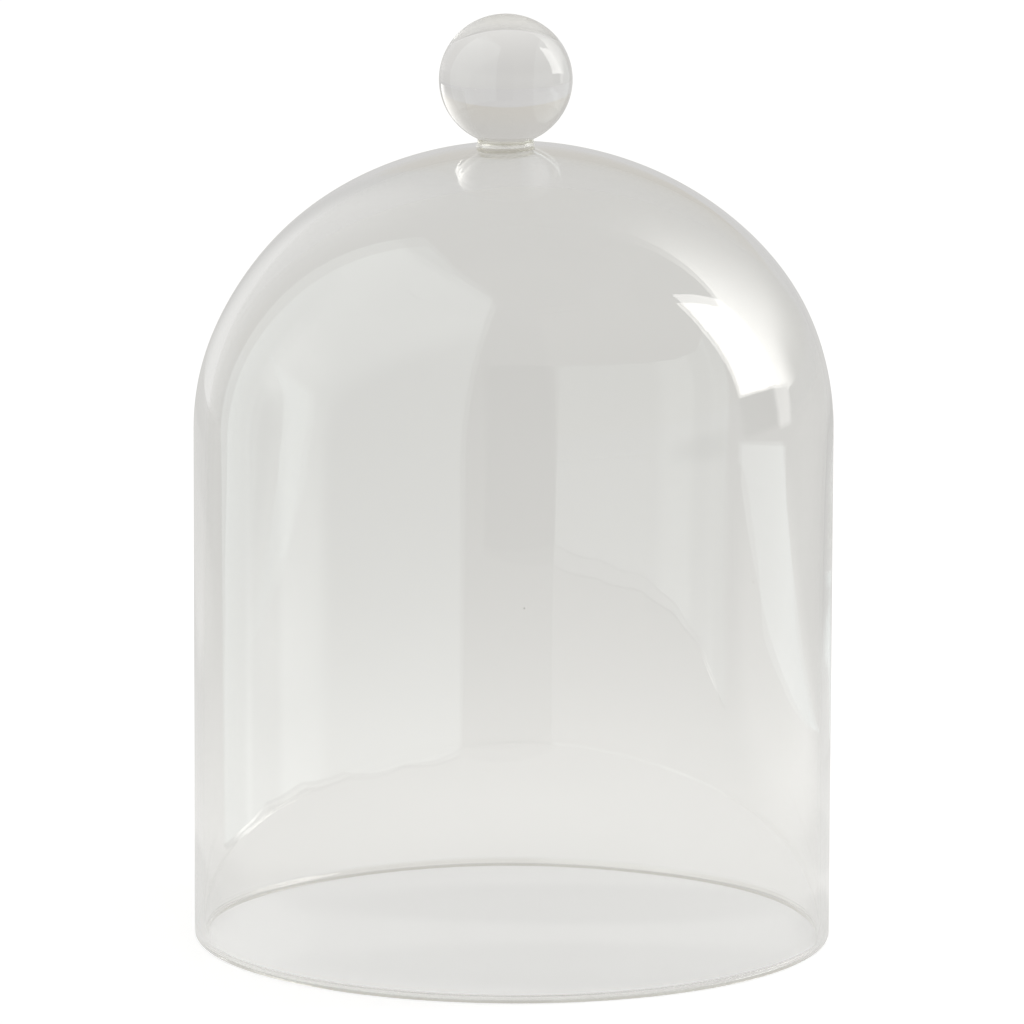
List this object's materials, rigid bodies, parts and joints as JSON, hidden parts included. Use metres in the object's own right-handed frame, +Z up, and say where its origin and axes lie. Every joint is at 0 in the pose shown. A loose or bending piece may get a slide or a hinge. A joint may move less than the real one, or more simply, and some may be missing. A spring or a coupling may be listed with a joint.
{
  "type": "glass bell jar dome",
  "caption": "Open-bottomed clear glass display dome with a tall rounded crown and a solid glass ball knob for lifting it off what it covers.",
  "frame": {"origin": "centre of the rim plane, on the surface the dome stands on", "axes": "+Z up the dome's axis to the knob; the knob stands a little to the -X side of that axis"},
  "size_m": [0.2, 0.2, 0.2915],
  "materials": {
    "dome_glass": "clear blown glass, polished inside and out, with a fire-polished beaded rim",
    "neck_glass": "clear glass, drawn into a flared foot and hot-fused between crown and ball",
    "ball_glass": "solid clear glass, fire-polished"
  },
  "bodies": {
    "root": {"dome_shell": "dome_glass", "knob_neck": "neck_glass", "knob_ball": "ball_glass"}
  },
  "joints": []
}
